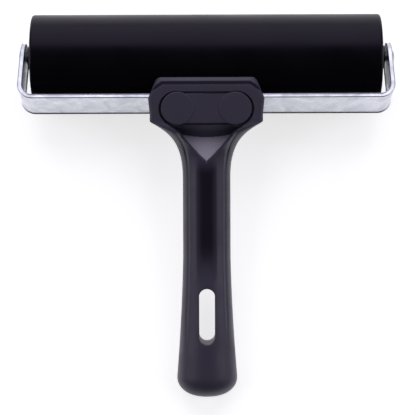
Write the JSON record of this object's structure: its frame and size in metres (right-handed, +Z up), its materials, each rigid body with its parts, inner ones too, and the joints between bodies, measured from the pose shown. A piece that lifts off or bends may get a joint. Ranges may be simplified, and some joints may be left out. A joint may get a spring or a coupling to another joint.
{
  "type": "rubber brayer",
  "caption": "Printmaking brayer: smooth black rubber roller on a riveted axle in a bent zinc-plated strip frame, with a moulded handle and hang slot.",
  "frame": {"origin": "middle of the lying object's bounding box footprint, on the surface that it lies on", "axes": "+X along the axle, +Y from the butt towards the roller, +Z up with the head's disc faces uppermost"},
  "size_m": [0.1622, 0.165, 0.037],
  "materials": {
    "black_rubber": "ground smooth, soft sheen",
    "core_plastic": "extruded tube",
    "bush_nylon": "moulded nylon",
    "axle_steel": "bright drawn steel",
    "zinc_plated_strip": "bright zinc plating over rolled strip",
    "handle_plastic": "moulded, satin"
  },
  "bodies": {
    "frame": {"strip_frame": "zinc_plated_strip", "axle_rod": "axle_steel", "left_frame_screw": "axle_steel", "right_frame_screw": "axle_steel", "disc_insert": "handle_plastic", "handle": "handle_plastic"},
    "roller": {"rubber_sleeve": "black_rubber", "roller_core": "core_plastic", "left_bush": "bush_nylon", "right_bush": "bush_nylon"},
    "left_washer": {"left_spacer_washer": "bush_nylon"},
    "right_washer": {"right_spacer_washer": "bush_nylon"}
  },
  "joints": [
    {"name": "roller_spin", "type": "hinge", "parent": "frame", "child": "roller", "pos_m": [-0.00035, 0.06404, 0.0185], "axis": [1, 0, 0], "continuous": true},
    {"name": "left_washer_spin", "type": "hinge", "parent": "frame", "child": "left_washer", "pos_m": [-0.00035, 0.06404, 0.0185], "axis": [1, 0, 0], "continuous": true},
    {"name": "right_washer_spin", "type": "hinge", "parent": "frame", "child": "right_washer", "pos_m": [-0.00035, 0.06404, 0.0185], "axis": [1, 0, 0], "continuous": true}
  ]
}
